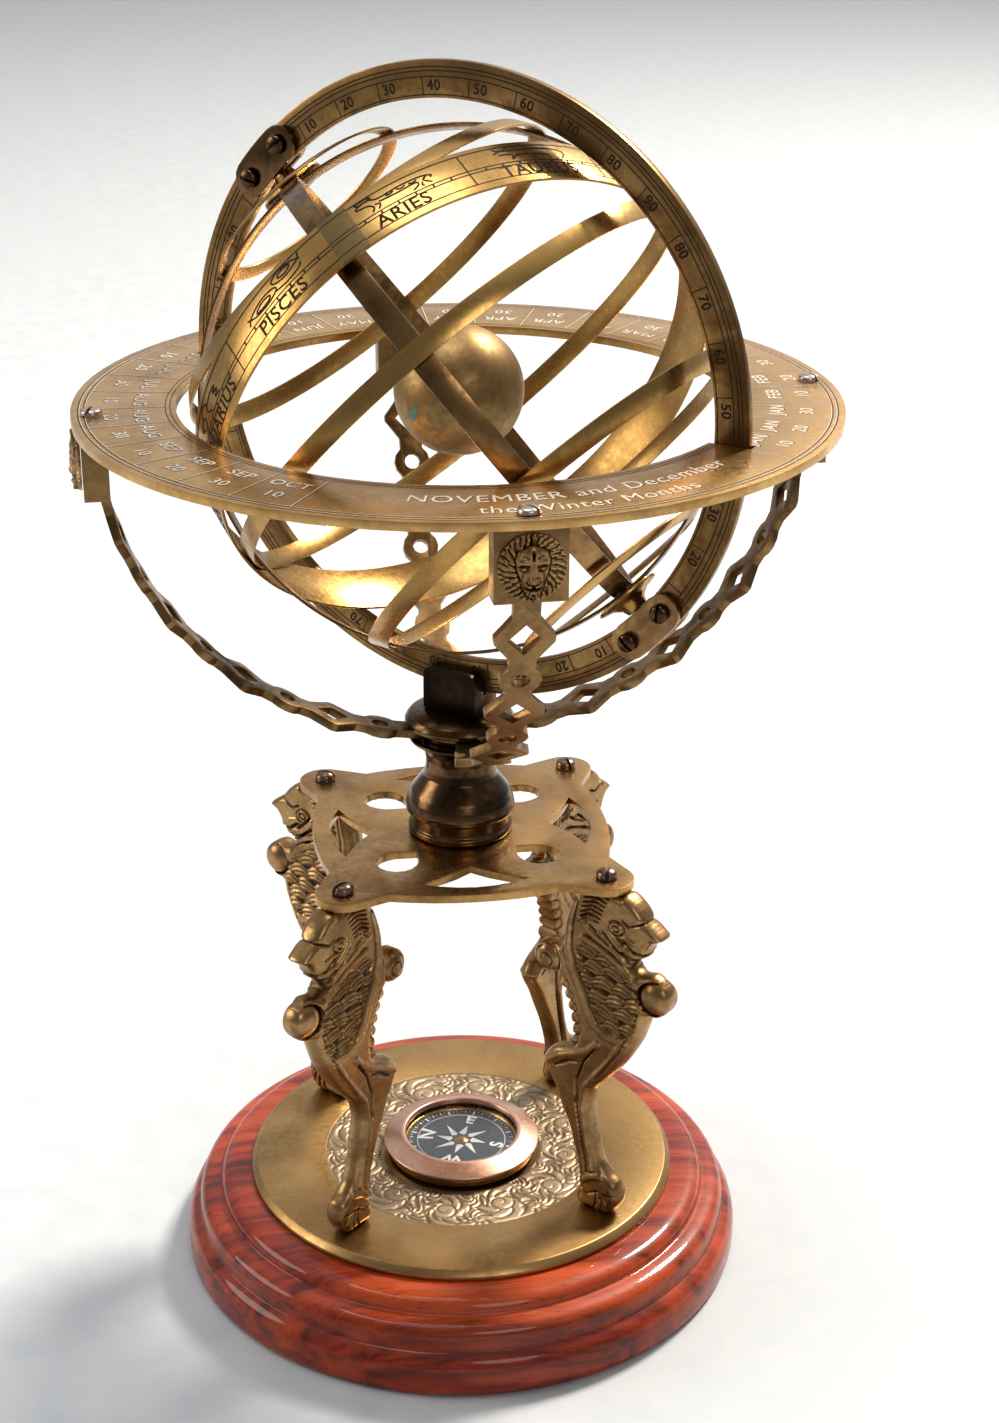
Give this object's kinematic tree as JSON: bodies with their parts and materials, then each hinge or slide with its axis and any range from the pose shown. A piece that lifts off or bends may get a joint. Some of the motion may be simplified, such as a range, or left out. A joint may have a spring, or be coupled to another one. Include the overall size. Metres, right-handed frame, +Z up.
{
  "type": "armillary sphere",
  "caption": "Table-top brass armillary sphere: turning cage of circles in a tilting meridian ring and horizon ring, on beast-headed legs over a compass in a round wooden base.",
  "frame": {"origin": "on the table under the middle of the round base", "axes": "+Z up; the legs stand at 45 degrees to X and Y; -Y is the front, and the north pole points up and to the left rear"},
  "size_m": [0.267, 0.267, 0.4536],
  "materials": {
    "antique_brass": "aged satin brass, brown in the engraving",
    "cast_brass": "cast brass with dark patina in the hollows",
    "dark_brass": "dark patinated brass",
    "copper": "satin coppered bezel",
    "mahogany": "high-gloss red lacquer over turned hardwood",
    "black_card": "matte black with white marks",
    "steel": "plain steel",
    "clear_glass": "clear flat glass"
  },
  "bodies": {
    "stand": {"wood_base": "mahogany", "base_disc": "antique_brass", "compass_case": "antique_brass", "top_plate": "antique_brass", "neck": "antique_brass", "horizon_ring": "antique_brass", "ring_screw_right": "antique_brass", "ring_screw_rear": "antique_brass", "ring_screw_left": "antique_brass", "ring_screw_front": "antique_brass", "hub_ring": "cast_brass", "leg_right_rear": "cast_brass", "leg_left_rear": "cast_brass", "leg_left_front": "cast_brass", "leg_right_front": "cast_brass", "arm_right": "cast_brass", "arm_rear": "cast_brass", "arm_left": "cast_brass", "arm_front": "cast_brass", "lion_mask_right": "cast_brass", "lion_mask_rear": "cast_brass", "lion_mask_left": "cast_brass", "lion_mask_front": "cast_brass", "hub_cap": "dark_brass", "cradle": "dark_brass", "plate_screw_right_rear": "dark_brass", "plate_screw_left_rear": "dark_brass", "plate_screw_left_front": "dark_brass", "plate_screw_right_front": "dark_brass", "centre_bolt": "steel", "compass_pivot": "steel", "foot_screw_right_rear": "steel", "foot_screw_left_rear": "steel", "foot_screw_left_front": "steel", "foot_screw_right_front": "steel", "compass_bezel": "copper", "compass_glass": "clear_glass"},
    "compass_dial": {"compass_card": "black_card", "compass_cap": "antique_brass"},
    "meridian": {"meridian_ring": "antique_brass", "axis_rod": "dark_brass", "north_clamp_front": "cast_brass", "north_clamp_back": "cast_brass", "south_clamp_front": "cast_brass", "south_clamp_back": "cast_brass", "north_clamp_screw_lower": "dark_brass", "north_clamp_screw_upper": "dark_brass", "south_clamp_screw_lower": "dark_brass", "south_clamp_screw_upper": "dark_brass"},
    "cage": {"colure_first": "antique_brass", "colure_second": "antique_brass", "equator_band": "antique_brass", "north_tropic_band": "antique_brass", "south_tropic_band": "antique_brass", "north_polar_band": "antique_brass", "south_polar_band": "antique_brass", "zodiac_band": "antique_brass", "north_pole_boss": "dark_brass", "south_pole_boss": "dark_brass"},
    "globe": {"globe": "antique_brass"}
  },
  "joints": [
    {"name": "compass_swing", "type": "hinge", "parent": "stand", "child": "compass_dial", "pos_m": [0, 0, 0.0385], "axis": [0, 0, 1], "continuous": true},
    {"name": "meridian_tilt", "type": "hinge", "parent": "stand", "child": "meridian", "pos_m": [0, 0, 0.343], "axis": [-0.6225, -0.7826, 0], "range_deg": [-28, 28]},
    {"name": "cage_spin", "type": "hinge", "parent": "meridian", "child": "cage", "pos_m": [0, 0, 0.343], "axis": [-0.5742, 0.4568, 0.6794], "continuous": true},
    {"name": "globe_spin", "type": "hinge", "parent": "meridian", "child": "globe", "pos_m": [0, 0, 0.343], "axis": [-0.5742, 0.4568, 0.6794], "continuous": true}
  ]
}
